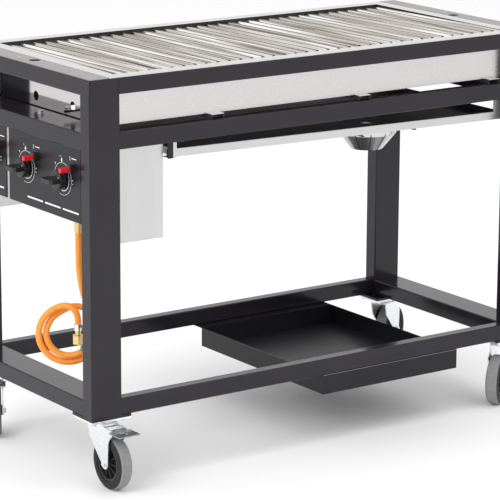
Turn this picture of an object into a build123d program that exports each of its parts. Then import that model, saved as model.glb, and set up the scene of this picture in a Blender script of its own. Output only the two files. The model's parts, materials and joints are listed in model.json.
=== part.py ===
from build123d import *

import math
import os

# A mobile gas charbroiler: a welded tube frame on four castors, a steel firebox with a V-bar
# grate, three tube burners with their valves on the left end, and a tray for the gas bottle.
# Millimetres. +X runs along the long front, +Y from front to back, +Z up from the floor.
# The origin is on the floor, under the middle of the whole object's box.

os.makedirs("parts", exist_ok=True)

# --- overall size -----------------------------------------------------------------------
length = 1300.0
width = 580.0
height = 950.0
caster_height = 163.0
knob_reach = 45.0
caster_trail = 45.0
wheel_radius = 62.5
tyre_width = 32.0
tyre_edge = 7.0
rim_radius = 44.0
pedal_reach = 118.0
pedal_pivot = 60.0
pedal_half = 28.0
arm_clear = 74.0
foot_size = (105.0, 85.0)
foot_thickness = 6.0
right_front_heading = math.radians(215.0)
right_back_heading = math.radians(27.0)
left_back_heading = math.radians(240.0)

# --- where the frame stands -------------------------------------------------------------
# The knobs stand out on the left, the brake pedals in front, and the right back castor on the
# other two sides.
tyre_out = caster_trail + wheel_radius - tyre_edge
tyre_half = tyre_width / 2 - tyre_edge
turn_x, turn_y = math.cos(right_back_heading), math.sin(right_back_heading)
wheel_right = tyre_out * turn_x + tyre_half * turn_y + tyre_edge - foot_size[0] / 2
wheel_back = tyre_out * turn_y + tyre_half * turn_x + tyre_edge - foot_size[1] / 2
pedal_stand_out = pedal_reach - foot_size[1] / 2
x_left = (knob_reach - wheel_right - length) / 2
x_right = x_left + length
y_front = (pedal_stand_out - wheel_back - width) / 2
y_back = y_front + width
y_middle = y_front + width / 2

# --- frame tubes ------------------------------------------------------------------------
tube_wall = 2.0
tube_corner = 3.0
post_x = 80.0
post_y = 40.0
rail_height = 40.0
rail_depth = 30.0
sheet = 2.0
z_foot = caster_height + foot_thickness
z_bottom_rail = z_foot
z_middle_rail = height - 165.0
z_top_rail = height - rail_height

# --- firebox and grate ------------------------------------------------------------------
wall_gap = 4.0
fire_left = x_left + post_x + wall_gap
fire_right = x_right - post_x - wall_gap
fire_front = y_front + rail_depth + wall_gap
fire_back = y_back - rail_depth - wall_gap
cover_width = 52.0
cover_hole_radius = 13.5
z_fire = z_middle_rail + rail_height + 10.0
air_hole_radius = 11.5
air_hole_pitch = 163.0
grate_count = 3
bars_per_grate = 12
bar_pitch = 31.25
bar_width = 26.5
bar_depth = 19.0
bar_sheet = 1.6
bar_front_top = height + 1.5
bar_back_top = height - 6.0

# --- gas controls -----------------------------------------------------------------------
knob_y = [y_front + 119.0, y_front + 279.0, y_front + 439.0]
z_knob = height - 243.0
igniter_offset_y = -42.0
igniter_offset_z = 30.0
knob_travel = 3.0
panel_face = x_left + 2.0
panel_sheet = 2.0
z_panel = height - 333.0
stem_radius = 4.0
knob_radius = 23.0
button_radius = 6.0
burner_y = [y_middle - air_hole_pitch, y_middle, y_middle + air_hole_pitch]
burner_radius = 20.0
z_burner = z_fire + burner_radius

# --- drip tray, which slopes down towards its handle ------------------------------------
tray_x = x_left + 248.0
tray_length = 974.0
tray_slope = math.radians(0.87)
tray_depth = 17.0
tray_front = y_front + 43.0
tray_back = y_back - 43.0
z_tray = height - 206.0
cup_x = x_left + 885.0
cup_y = y_front + 150.0

# --- bottle tray ------------------------------------------------------------------------
bottle_left = x_left + 650.0
bottle_right = x_left + 1062.0
bottle_depth = 48.0
bottle_back = y_front + 520.0

# --- gas hose ---------------------------------------------------------------------------
hose_radius = 7.5
inlet_x = x_left + 37.0
inlet_y = y_front + 112.0
z_hose_exit = height - 370.0
coil_middle = Vector(x_left + 32.0, y_front + 150.0, 335.0)
coil_across = Vector(0.835, -0.550, 0).normalized()
coil_normal = Vector(-0.550, -0.835, 0).normalized()
coil_outer = 79.0
coil_inner = 45.0
coil_thickness = 32.0


def save(builder, name):
    """Label a finished piece and write its STEP file."""
    builder.part.label = name
    export_step(builder.part, f"parts/{name}.step")


def block(low, high, mode=Mode.ADD):
    """A plain box between two opposite corners."""
    middle = tuple((a + b) / 2 for a, b in zip(low, high))
    size = [b - a for a, b in zip(low, high)]
    with Locations(middle):
        Box(*size, mode=mode)


def tube(low, high, along):
    """A hollow rectangular tube with rounded corners between two opposite corners."""
    low, high = Vector(*low), Vector(*high)
    size = high - low
    middle = (low + high) / 2
    if along == "X":
        plane, centre = Plane.YZ.offset(low.X), (middle.Y, middle.Z)
        across, run = (size.Y, size.Z), size.X
    elif along == "Y":
        plane, centre = Plane.XZ.offset(-high.Y), (middle.X, middle.Z)
        across, run = (size.X, size.Z), size.Y
    else:
        plane, centre = Plane.XY.offset(low.Z), (middle.X, middle.Y)
        across, run = (size.X, size.Y), size.Z
    with BuildSketch(plane) as profile:
        with Locations(centre):
            RectangleRounded(across[0], across[1], tube_corner)
            inner = (across[0] - 2 * tube_wall, across[1] - 2 * tube_wall)
            RectangleRounded(inner[0], inner[1], tube_corner - tube_wall, mode=Mode.SUBTRACT)
    extrude(profile.sketch, amount=run)


def rod(start, end, radius, bore=0.0, mode=Mode.ADD):
    """A round bar between two points, or a sleeve where a bore radius is given."""
    run = Vector(*end) - Vector(*start)
    with BuildSketch(Plane(origin=start, z_dir=run)) as ring:
        Circle(radius)
        if bore:
            Circle(bore, mode=Mode.SUBTRACT)
    extrude(ring.sketch, amount=run.length, mode=mode)


def hexagon(start, end, across_flats, bore=0.0):
    """A hexagonal bar between two points, with an optional bore."""
    run = Vector(*end) - Vector(*start)
    with BuildSketch(Plane(origin=start, z_dir=run)) as ring:
        RegularPolygon(across_flats / 2, 6, major_radius=False)
        if bore:
            Circle(bore, mode=Mode.SUBTRACT)
    extrude(ring.sketch, amount=run.length)


def bent_rod(points, radius, bends, bore=0.0):
    """A round bar or pipe along straight runs joined by tangent arcs."""
    with BuildLine() as path:
        FilletPolyline(*points, radius=bends)
    run = Vector(*points[1]) - Vector(*points[0])
    with BuildSketch(Plane(origin=points[0], z_dir=run)) as ring:
        Circle(radius)
        if bore:
            Circle(bore, mode=Mode.SUBTRACT)
    sweep(ring.sketch, path=path.wire())


def route_radii(points):
    """Each corner's arc: as large as its shorter run allows."""
    radii = []
    for before, corner, after in zip(points, points[1:], points[2:]):
        first = Vector(*corner) - Vector(*before)
        second = Vector(*after) - Vector(*corner)
        half_turn = math.radians(first.get_angle(second)) / 2
        radii.append(0.45 * min(first.length, second.length) / math.tan(half_turn))
    return radii


def on_coil(across, up, forward=0.0):
    """A point given in the coil's own plane: across it, up it, and out of it to the front."""
    return coil_middle + coil_across * across + Vector(0, 0, up) + coil_normal * forward


# ======================================================================== frame
with BuildPart() as frame_posts:
    for x in (x_left, x_right - post_x):
        for y in (y_front, y_back - post_y):
            tube((x, y, z_foot), (x + post_x, y + post_y, z_top_rail), "Z")
save(frame_posts, "frame_posts")


def rail_ring(z, rail_top, end_front, end_back):
    """Four rails at one level: two end rails 80 wide and two long rails 30 deep."""
    for x in (x_left, x_right - post_x):
        tube((x, end_front, z), (x + post_x, end_back, rail_top), "Y")
    for y in (y_front, y_back - rail_depth):
        tube((x_left + post_x, y, z), (x_right - post_x, y + rail_depth, rail_top), "X")


with BuildPart() as top_frame:
    rail_ring(z_top_rail, height - sheet, y_front, y_back)
    for x in (x_left, x_right - post_x):
        for y in (y_front, y_back - sheet):
            low = (x + tube_corner, y, z_top_rail + 1)
            block(low, (x + post_x - tube_corner, y + sheet, height - sheet - 1))
    for x in (x_left + 34.0, x_right - 34.0):
        rod((x, y_middle, height - 8.0), (x, y_middle, height), cover_hole_radius, mode=Mode.SUBTRACT)
save(top_frame, "top_frame")

with BuildPart() as middle_frame:
    rail_ring(z_middle_rail, z_middle_rail + rail_height, y_front + post_y, y_back - post_y)
save(middle_frame, "middle_frame")

with BuildPart() as bottom_frame:
    rail_ring(z_bottom_rail, z_bottom_rail + rail_height, y_front + post_y, y_back - post_y)
save(bottom_frame, "bottom_frame")

# The castor's swivel axis is under the middle of each foot plate.
foot_x = [x_left + foot_size[0] / 2, x_right - foot_size[0] / 2]
foot_y = [y_front + foot_size[1] / 2, y_back - foot_size[1] / 2]
feet = [(x, y) for x in foot_x for y in foot_y]
bolt_spacing = (80.0, 60.0)
bolt_radius = 4.0

with BuildPart() as foot_plates:
    with BuildSketch(Plane.XY.offset(caster_height)):
        with Locations(*feet):
            Rectangle(*foot_size)
            with GridLocations(*bolt_spacing, 2, 2):
                Circle(bolt_radius, mode=Mode.SUBTRACT)
    extrude(amount=foot_thickness)
save(foot_plates, "foot_plates")

with BuildPart() as end_covers:
    with BuildSketch(Plane.XY.offset(height - sheet)):
        for x in (x_left, x_right - cover_width):
            with Locations((x + cover_width / 2, y_middle)):
                Rectangle(cover_width - 2.4, width)
        for x in (x_left + 34.0, x_right - 34.0):
            with Locations((x, y_middle)):
                Circle(cover_hole_radius, mode=Mode.SUBTRACT)
    extrude(amount=sheet)
save(end_covers, "end_covers")

# A small screw on each end cover, and a bolt with its washer on each middle end rail.
with BuildPart() as frame_screws:
    for x in (x_left + 22.0, x_right - 22.0):
        rod((x, y_middle + 48.0, height), (x, y_middle + 48.0, height + 1.6), 4.0)
    for x in (x_left + 48.0, x_right - 48.0):
        z = z_middle_rail + rail_height
        rod((x, y_middle, z), (x, y_middle, z + 1.6), 8.5)
        hexagon((x, y_middle, z + 1.6), (x, y_middle, z + 7.0), 13.0)
save(frame_screws, "frame_screws")

# ======================================================================== firebox
fire_size = (fire_right - fire_left, fire_back - fire_front)
fire_middle = ((fire_left + fire_right) / 2, y_middle)
flange_size = (length - 2 * cover_width, width)
air_holes = [y_middle + (step - 1.5) * air_hole_pitch for step in range(4)]
z_air_hole = height - 100.0
skirt_drop = 25.0
front_ledge_top = bar_front_top - bar_depth - 7.0
back_ledge_top = bar_back_top - bar_depth - 7.0

with BuildPart() as firebox:
    with BuildSketch(Plane.XY.offset(z_fire)):
        with Locations(fire_middle):
            Rectangle(*fire_size)
            Rectangle(fire_size[0] - 2 * sheet, fire_size[1] - 2 * sheet, mode=Mode.SUBTRACT)
    extrude(amount=height - sheet - z_fire)
    for x in (fire_left, fire_right - sheet):
        block((x, fire_front + 3, z_fire - skirt_drop), (x + sheet, fire_back - 3, z_fire))
    with BuildSketch(Plane.XY.offset(height - sheet)):
        with Locations(fire_middle):
            Rectangle(*flange_size)
            Rectangle(fire_size[0] - 2 * sheet, fire_size[1] - 2 * sheet, mode=Mode.SUBTRACT)
    extrude(amount=sheet)
    ledge = (fire_left + sheet, fire_right - sheet)
    block((ledge[0], fire_front + 1, front_ledge_top - 2), (ledge[1], fire_front + 28, front_ledge_top))
    block((ledge[0], fire_back - 28, back_ledge_top - 2), (ledge[1], fire_back - 1, back_ledge_top))
    for y in air_holes:
        start = (fire_left - 1, y, z_air_hole)
        rod(start, (fire_left + 3, y, z_air_hole), air_hole_radius, mode=Mode.SUBTRACT)
save(firebox, "firebox")

pin_y, pin_z = air_holes[1] - 6, z_air_hole - 9
with BuildPart() as wall_pin:
    rod((fire_left - 26, pin_y, pin_z), (fire_left, pin_y, pin_z), 2.5)
save(wall_pin, "wall_pin")

support_x = [x_left + 355.0, x_left + 776.0, x_left + 1175.0]
with BuildPart() as firebox_supports:
    for x in support_x:
        z = z_fire - 10.0
        block((x - 17, y_front + 18, z), (x + 17, y_back - 18, z_fire))
        block((x - 15, y_front + 17, z - 1), (x + 15, y_back - 17, z_fire - 2), mode=Mode.SUBTRACT)
save(firebox_supports, "firebox_supports")

bar_run = fire_back - fire_front - 2 * sheet - 4.0
bar_start = fire_front + sheet + 2.0
bar_fall = Vector(0, bar_run, bar_back_top - bar_front_top)
grate_span = bars_per_grate * bar_pitch
grate_left = (x_left + x_right) / 2 - grate_count * grate_span / 2


def grate(left):
    """Twelve open V-bars, sloping down to the back, on two cross bars."""
    with BuildPart() as section:
        with BuildSketch(Plane(origin=(0, bar_start, 0), x_dir=(1, 0, 0), z_dir=(0, -1, 0))) as profile:
            with BuildLine():
                half = bar_width / 2
                skin = bar_sheet * 1.3
                Polyline(
                    (-half, 0),
                    (skin - half, 0),
                    (0, skin - bar_depth),
                    (half - skin, 0),
                    (half, 0),
                    (0, -bar_depth),
                    close=True,
                )
            make_face()
        bar = profile.sketch
        for step in range(bars_per_grate):
            middle = left + (step + 0.5) * bar_pitch
            extrude(bar.moved(Location((middle, 0, bar_front_top))), amount=bar_fall.length, dir=bar_fall)
        cross = (left + 4, left + grate_span - 4)
        z_front = front_ledge_top
        z_back = back_ledge_top
        block((cross[0], bar_start + 4, z_front), (cross[1], bar_start + 20, z_front + 8))
        block((cross[0], bar_start + bar_run - 20, z_back), (cross[1], bar_start + bar_run - 4, z_back + 8))
    return section


for name, step in (("grate_left", 0), ("grate_middle", 1), ("grate_right", 2)):
    save(grate(grate_left + step * grate_span), name)

# ======================================================================== burners and gas train
burner_start = fire_left + 46.0
burner_end = fire_right - 36.0
mouth_start = fire_left + 24.0
slot_count = 24
slot_pitch = (burner_end - burner_start - 60) / (slot_count - 1)

with BuildPart() as burners:
    for y in burner_y:
        rod((burner_start, y, z_burner), (burner_end, y, z_burner), burner_radius)
        rod((mouth_start, y, z_burner), (burner_start + 3, y, z_burner), 12.0)
        inside = [(x, y, z_burner) for x in (burner_start + 2, burner_end - 2)]
        rod(inside[0], inside[1], burner_radius - 2, mode=Mode.SUBTRACT)
        throat = [(x, y, z_burner) for x in (mouth_start - 1, burner_start + 3)]
        rod(throat[0], throat[1], 10.0, mode=Mode.SUBTRACT)
        for step in range(slot_count):
            x = burner_start + 30 + step * slot_pitch
            low = (x - 1, y - 12, z_burner + 10)
            block(low, (x + 1, y + 12, z_burner + 21), mode=Mode.SUBTRACT)
save(burners, "burners")

injector_x = mouth_start - 10.0
with BuildPart() as injectors:
    for y in burner_y:
        hexagon((injector_x - 7, y, z_burner), (injector_x + 5, y, z_burner), 13.0)
        rod((injector_x + 5, y, z_burner), (injector_x + 14, y, z_burner), 4.0)
        rod((injector_x + 8, y, z_burner), (injector_x + 15, y, z_burner), 0.8, mode=Mode.SUBTRACT)
save(injectors, "injectors")

valve_front = x_left + 12.0
valve_back = x_left + 62.0
valve_half = 14.0
with BuildPart() as gas_valves:
    for y in knob_y:
        low = (valve_front + 8, y - valve_half, z_knob - valve_half)
        block(low, (valve_back, y + valve_half, z_knob + valve_half))
        rod((valve_front, y, z_knob), (valve_front + 9, y, z_knob), 10.0)
        bore_end = (valve_front + 22, y, z_knob)
        rod((valve_front - 1, y, z_knob), bore_end, stem_radius + 0.05, mode=Mode.SUBTRACT)
save(gas_valves, "gas_valves")

manifold_z = z_knob - valve_half - 9.5
with BuildPart() as gas_manifold:
    rod((inlet_x, y_front + 72, manifold_z), (inlet_x, y_front + 472, manifold_z), 10.5)
    rod((inlet_x, y_front + 75, manifold_z), (inlet_x, y_front + 469, manifold_z), 8.0, mode=Mode.SUBTRACT)
save(gas_manifold, "gas_manifold")

pipe_turn_x = injector_x - 1.0
with BuildPart() as gas_pipes:
    for valve, burner in zip(knob_y, burner_y):
        route = [
            (valve_back - 1, valve, z_knob),
            (pipe_turn_x, valve, z_knob),
            (pipe_turn_x, burner, z_burner - 40),
            (pipe_turn_x, burner, z_burner - 5.5),
        ]
        bent_rod(route, 4.0, 10.0, bore=3.0)
save(gas_pipes, "gas_pipes")

with BuildPart() as ignition_electrodes:
    for y in burner_y:
        x = burner_start + 20
        block((x, y + 18.5, z_burner + 4), (x + 3, y + 34, z_burner + 16))
        rod((x - 22, y + 28, z_burner + 10), (x + 14, y + 28, z_burner + 10), 4.0)
        rod((x + 14, y + 28, z_burner + 10), (x + 26, y + 22, z_burner + 22), 1.2)
save(ignition_electrodes, "ignition_electrodes")

# ======================================================================== control end
igniters = [(y + igniter_offset_y, z_knob + igniter_offset_z) for y in knob_y]
igniter_barrel = 9.0
panels = (
    ("control_panel_wide", y_front + 43.0, y_front + 359.0, knob_y[:2], igniters[:2]),
    ("control_panel_narrow", y_front + 373.0, y_back - 43.0, knob_y[2:], igniters[2:]),
)


def control_holes(start_x, end_x, knobs, buttons):
    """Cut the stem and igniter holes through an upright sheet."""
    for y in knobs:
        rod((start_x, y, z_knob), (end_x, y, z_knob), 7.0, mode=Mode.SUBTRACT)
    for y, z in buttons:
        rod((start_x, y, z), (end_x, y, z), igniter_barrel + 0.1, mode=Mode.SUBTRACT)


for name, low_y, high_y, knobs, buttons in panels:
    with BuildPart() as panel:
        block((panel_face, low_y, z_panel), (panel_face + panel_sheet, high_y, z_middle_rail))
        control_holes(panel_face - 1, panel_face + panel_sheet + 1, knobs, buttons)
    save(panel, name)

housing_face = panel_face + panel_sheet
housing = (y_front + 53.0, y_back - 53.0)
with BuildPart() as control_housing:
    block((housing_face, housing[0], z_panel - 2), (housing_face + 1.5, housing[1], z_middle_rail))
    block((housing_face, housing[0], z_panel - 2), (housing_face + 20, housing[1], z_panel - 0.5))
    block((housing_face, housing[0], z_middle_rail - 1.5), (housing_face + 30, housing[1], z_middle_rail))
    control_holes(housing_face - 1, housing_face + 3, knob_y, igniters)
save(control_housing, "control_housing")

with BuildPart() as side_shields:
    for y in (y_front + 50.0, y_back - 51.5):
        block((x_left + 10, y, height - 394.0), (x_left + 226, y + 1.5, z_middle_rail))
save(side_shields, "side_shields")

with BuildPart() as igniter_bodies:
    for y, z in igniters:
        rod((panel_face - 10, y, z), (panel_face, y, z), 11.0)
        rod((panel_face - 1, y, z), (panel_face + 34, y, z), igniter_barrel)
        hexagon((housing_face + 1.5, y, z), (housing_face + 6, y, z), 22.0)
        rod((panel_face - 11, y, z), (panel_face + 10, y, z), button_radius + 0.3, mode=Mode.SUBTRACT)
save(igniter_bodies, "igniter_bodies")

knob_back = panel_face - knob_travel - 1.0
for number, (y, igniter) in enumerate(zip(knob_y, igniters), start=1):
    with BuildPart() as valve_stem:
        rod((knob_back - 12, y, z_knob), (valve_front + 14, y, z_knob), stem_radius)
    save(valve_stem, f"valve_stem_{number}")

    with BuildPart() as knob:
        rod((knob_back, y, z_knob), (knob_back - 17, y, z_knob), knob_radius)
        fillet(knob.edges().filter_by(GeomType.CIRCLE).sort_by(Axis.X)[0], 4.0)
        front = x_left - knob_reach
        with BuildSketch(Plane.XY.offset(z_knob - 5.0)) as grip:
            with BuildLine():
                half = knob_radius - 0.5
                back = knob_back - 10
                Polyline((back, y - half), (front + 6, y - half), (front, y - half + 6))
                Line((front, y - half + 6), (front, y + half - 6))
                Polyline((front, y + half - 6), (front + 6, y + half), (back, y + half), (back, y - half))
            make_face()
        extrude(grip.sketch, amount=10.0)
        bore_end = (knob_back - 13, y, z_knob)
        rod((knob_back + 1, y, z_knob), bore_end, stem_radius + 0.05, mode=Mode.SUBTRACT)
    save(knob, f"knob_{number}")

    with BuildPart() as igniter_button:
        button_y, button_z = igniter
        rod((panel_face - 34, button_y, button_z), (panel_face + 2, button_y, button_z), button_radius)
        fillet(igniter_button.edges().filter_by(GeomType.CIRCLE).sort_by(Axis.X)[0], 1.5)
    save(igniter_button, f"igniter_button_{number}")

# ======================================================================== drip tray and fat cup
down_slope = Vector(math.cos(tray_slope), 0, -math.sin(tray_slope))
up_slope = Vector(math.sin(tray_slope), 0, math.cos(tray_slope))
tray_plane = Plane(origin=(tray_x, tray_front, z_tray), x_dir=down_slope, z_dir=up_slope)
tray_width = tray_back - tray_front
tray_sheet = 1.5
cup_run = (cup_x - tray_x) / math.cos(tray_slope)
cup_across = cup_y - tray_front

with BuildPart(tray_plane) as drip_tray:
    block((0, 0, 0), (tray_length, tray_width, tray_depth))
    low = (tray_sheet, tray_sheet, tray_sheet)
    block(low, (tray_length - tray_sheet, tray_width - tray_sheet, tray_depth + 1), mode=Mode.SUBTRACT)
    with Locations((cup_run, cup_across, 0)):
        Cylinder(15.0, 10.0, mode=Mode.SUBTRACT)
    handle = (tray_width / 2 - 70, tray_width / 2 + 70)
    block((tray_length, handle[0], 5), (tray_length + 34, handle[0] + 8, 11))
    block((tray_length, handle[1] - 8, 5), (tray_length + 34, handle[1], 11))
    block((tray_length + 26, handle[0], 5), (tray_length + 34, handle[1], 11))
save(drip_tray, "drip_tray")

with BuildPart(tray_plane) as channels:
    for web, toe in ((-3.0, 14.0), (tray_width + 3.0, tray_width - 14.0)):
        side = 1.5 if web < 0 else -1.5
        y_web = sorted((web, web + side))
        y_toe = sorted((web, toe))
        block((-18, y_web[0], -1.6), (tray_length + 4, y_web[1], 17))
        block((-18, y_toe[0], -1.6), (tray_length + 4, y_toe[1], -0.1))
hanger_x = [x_left + 244.0, x_left + 1205.0]
with BuildPart() as tray_runners:
    add(channels.part)
    for x in hanger_x:
        for outer, inner in ((y_front + 8.0, tray_front - 3.0), (y_back - 8.0, tray_back + 3.0)):
            side = 1.5 if inner > outer else -1.5
            foot = sorted((outer, inner))
            leg = sorted((inner, inner - side))
            block((x - 12, foot[0], z_middle_rail - 1.5), (x + 12, foot[1], z_middle_rail))
            block((x - 12, leg[0], z_tray - 4), (x + 12, leg[1], z_middle_rail))
save(tray_runners, "tray_runners")

z_cup_rim = z_tray - math.sin(tray_slope) * cup_run - 9.0
cup_rim = 80.0
with BuildPart() as fat_cup:
    with BuildSketch(Plane(origin=(cup_x, cup_y, z_cup_rim), x_dir=(1, 0, 0), z_dir=(0, -1, 0))):
        with BuildLine():
            Polyline(
                (74, 0),
                (72, -12),
                (40, -51),
                (0, -51),
                (0, -49.5),
                (39.2, -49.5),
                (70.6, -11.6),
                (72.5, 0),
                (72.5, 1.5),
                (cup_rim, 1.5),
                (cup_rim, 0),
                (74, 0),
            )
        make_face()
    revolve(axis=Axis((cup_x, cup_y, 0), (0, 0, 1)))
save(fat_cup, "fat_cup")

with BuildPart() as cup_rails:
    z_lip = z_cup_rim - 1.6
    for side in (-1, 1):
        inside = cup_x + side * (cup_rim - 5)
        web = cup_x + side * (cup_rim + 1)
        outside = cup_x + side * (cup_rim + 14)
        z_under = z_tray - math.sin(tray_slope) * (outside - tray_x)
        web_x = sorted((web, web + side * 1.5))
        lip_x = sorted((inside, web + side * 1.5))
        top_x = sorted((web, outside))
        block((lip_x[0], cup_y - 90, z_lip), (lip_x[1], cup_y + 90, z_lip + 1.5))
        block((web_x[0], cup_y - 90, z_lip), (web_x[1], cup_y + 90, z_under - 0.2))
        block((top_x[0], cup_y - 90, z_under - 2.4), (top_x[1], cup_y + 90, z_under - 0.2))
save(cup_rails, "cup_rails")

# ======================================================================== bottle tray
with BuildPart() as bottle_tray:
    z_floor = z_foot - bottle_depth
    block((bottle_left, y_front, z_floor), (bottle_right, bottle_back, z_foot))
    low = (bottle_left + 1.5, y_front + 1.5, z_floor + 1.5)
    block(low, (bottle_right - 1.5, bottle_back - 1.5, z_foot + 1), mode=Mode.SUBTRACT)
    block((bottle_left, y_front, z_foot - 1.5), (bottle_right, y_front + 24, z_foot))
    block((bottle_left, bottle_back - 1.5, z_foot - 1.5), (bottle_right, y_back - 4, z_foot))
save(bottle_tray, "bottle_tray")

# ======================================================================== gas hose
with BuildPart() as hose_inlet_fitting:
    rod((inlet_x, inlet_y, manifold_z - 9.5), (inlet_x, inlet_y, z_hose_exit + 26), 7.0)
    hexagon((inlet_x, inlet_y, z_hose_exit + 26), (inlet_x, inlet_y, z_hose_exit + 14), 19.0)
    rod((inlet_x, inlet_y, z_hose_exit + 14), (inlet_x, inlet_y, z_hose_exit), hose_radius + 1.2)
save(hose_inlet_fitting, "hose_inlet_fitting")

hose_route = [
    (inlet_x, inlet_y, z_hose_exit),
    (inlet_x, inlet_y, z_hose_exit - 50),
    (inlet_x + 3, inlet_y + 2, z_hose_exit - 100),
    (inlet_x + 15, inlet_y + 6, z_hose_exit - 148),
    on_coil(48, 57, 3),
]
hose_bends = route_radii(hose_route)
print("hose drop bends", [round(bend) for bend in hose_bends])
with BuildPart() as gas_hose:
    bent_rod(hose_route, hose_radius, hose_bends)
save(gas_hose, "gas_hose")
with BuildLine() as hose_path:
    FilletPolyline(*hose_route, radius=hose_bends)
hose_section = math.pi * hose_radius**2
print("hose volume", round(gas_hose.part.volume), round(hose_section * hose_path.wire().length))

# The last stretch leaves the coil at its top and comes down in front, to the end fitting.
tail_points = ((-34, 69, 6), (-10, 71, 10), (10, 59, 15), (22, 39, 18), (22, 15, 18))
tail_route = [on_coil(*point) for point in tail_points]
tail_bends = route_radii(tail_route)
print("hose tail bends", [round(bend) for bend in tail_bends])
coil_plane = Plane(origin=coil_middle, x_dir=coil_across, z_dir=(0, 0, 1))
with BuildPart() as hose_coil:
    with BuildSketch(coil_plane) as section:
        with Locations(((coil_outer + coil_inner) / 2, 0)):
            RectangleRounded(coil_outer - coil_inner, coil_thickness, 7.0)
    revolve(section.sketch, axis=Axis(coil_middle, coil_normal))
    bent_rod(tail_route, hose_radius, tail_bends)
save(hose_coil, "hose_coil")

tail_end = Vector(*tail_route[-1])
tail_down = (tail_end - Vector(*tail_route[-2])).normalized()
with BuildPart() as hose_end_fitting:
    steps = [-12, 0, 4, 14, 34]
    sleeve, seat, ferrule, nut, mouth = [tail_end + tail_down * step for step in steps]
    rod(sleeve, seat, hose_radius + 1.2, bore=hose_radius)
    rod(seat, ferrule, hose_radius + 1.2)
    rod(ferrule, nut, 7.0)
    hexagon(nut, mouth, 24.0)
    rod(mouth + tail_down, tail_end + tail_down * 22, 9.0, mode=Mode.SUBTRACT)
save(hose_end_fitting, "hose_end_fitting")

hook_radius = 3.0
hook_angle = math.radians(30)
hook_reach = coil_inner - hook_radius + 0.6
hook_far = on_coil(hook_reach * math.cos(hook_angle), hook_reach * math.sin(hook_angle), -26)
hook_near = on_coil(hook_reach * math.cos(hook_angle), hook_reach * math.sin(hook_angle), 34)
with BuildPart() as hose_hook:
    post_face = y_front + post_y
    hook_route = [
        (hook_near.X, post_face + 3, hook_near.Z),
        hook_near,
        hook_far,
        (hook_far + Vector(0, 0, 22)),
    ]
    bent_rod(hook_route, hook_radius, [20.0, 7.0])
    with BuildSketch(Plane.XZ.offset(-post_face - 4)) as pad:
        with Locations((hook_near.X, hook_near.Z)):
            RectangleRounded(24, 36, 3)
    extrude(pad.sketch, amount=4)
save(hose_hook, "hose_hook")

tie_angle = math.radians(-50)
tie_out = coil_across * math.cos(tie_angle) + Vector(0, 0, 1) * math.sin(tie_angle)
tie_middle = coil_middle + tie_out * (coil_outer + coil_inner) / 2
tie_side = coil_normal.cross(tie_out)
with BuildPart() as hose_tie:
    tie_plane = Plane(origin=tie_middle - tie_side * 2.5, x_dir=tie_out, z_dir=tie_side)
    with BuildSketch(tie_plane) as band:
        Rectangle(coil_outer - coil_inner + 4, coil_thickness + 3)
        Rectangle(coil_outer - coil_inner, coil_thickness, mode=Mode.SUBTRACT)
    extrude(band.sketch, amount=5)
save(hose_tie, "hose_tie")

# ======================================================================== castors
plate_thickness = 5.0
z_plate = caster_height - plate_thickness
z_race = z_plate - 6.0
fork_top = z_race - 0.3
fork_sheet = 3.0
fork_inside = 19.0
z_crown = fork_top - 4.0
z_pedal = z_crown - 10.0
kingpin_radius = 8.0

with BuildPart() as caster_plates:
    with BuildSketch(Plane.XY.offset(z_plate)):
        with Locations(*feet):
            Rectangle(*foot_size)
            with GridLocations(*bolt_spacing, 2, 2):
                Circle(bolt_radius + 0.5, mode=Mode.SUBTRACT)
    extrude(amount=plate_thickness)
    for x, y in feet:
        rod((x, y, z_race), (x, y, z_plate), 30.0)
        rod((x, y, z_crown - 1), (x, y, z_race), kingpin_radius)
        rod((x, y, z_crown - 5), (x, y, z_crown - 0.4), 13.0)
save(caster_plates, "caster_plates")

with BuildPart() as caster_bolts:
    for x, y in feet:
        for step_x in (-0.5, 0.5):
            for step_y in (-0.5, 0.5):
                at = (x + step_x * bolt_spacing[0], y + step_y * bolt_spacing[1])
                hexagon((*at, z_plate - 5.3), (*at, z_plate), 13.0)
                rod((*at, z_plate), (*at, z_foot), bolt_radius)
save(caster_bolts, "caster_bolts")


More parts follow.
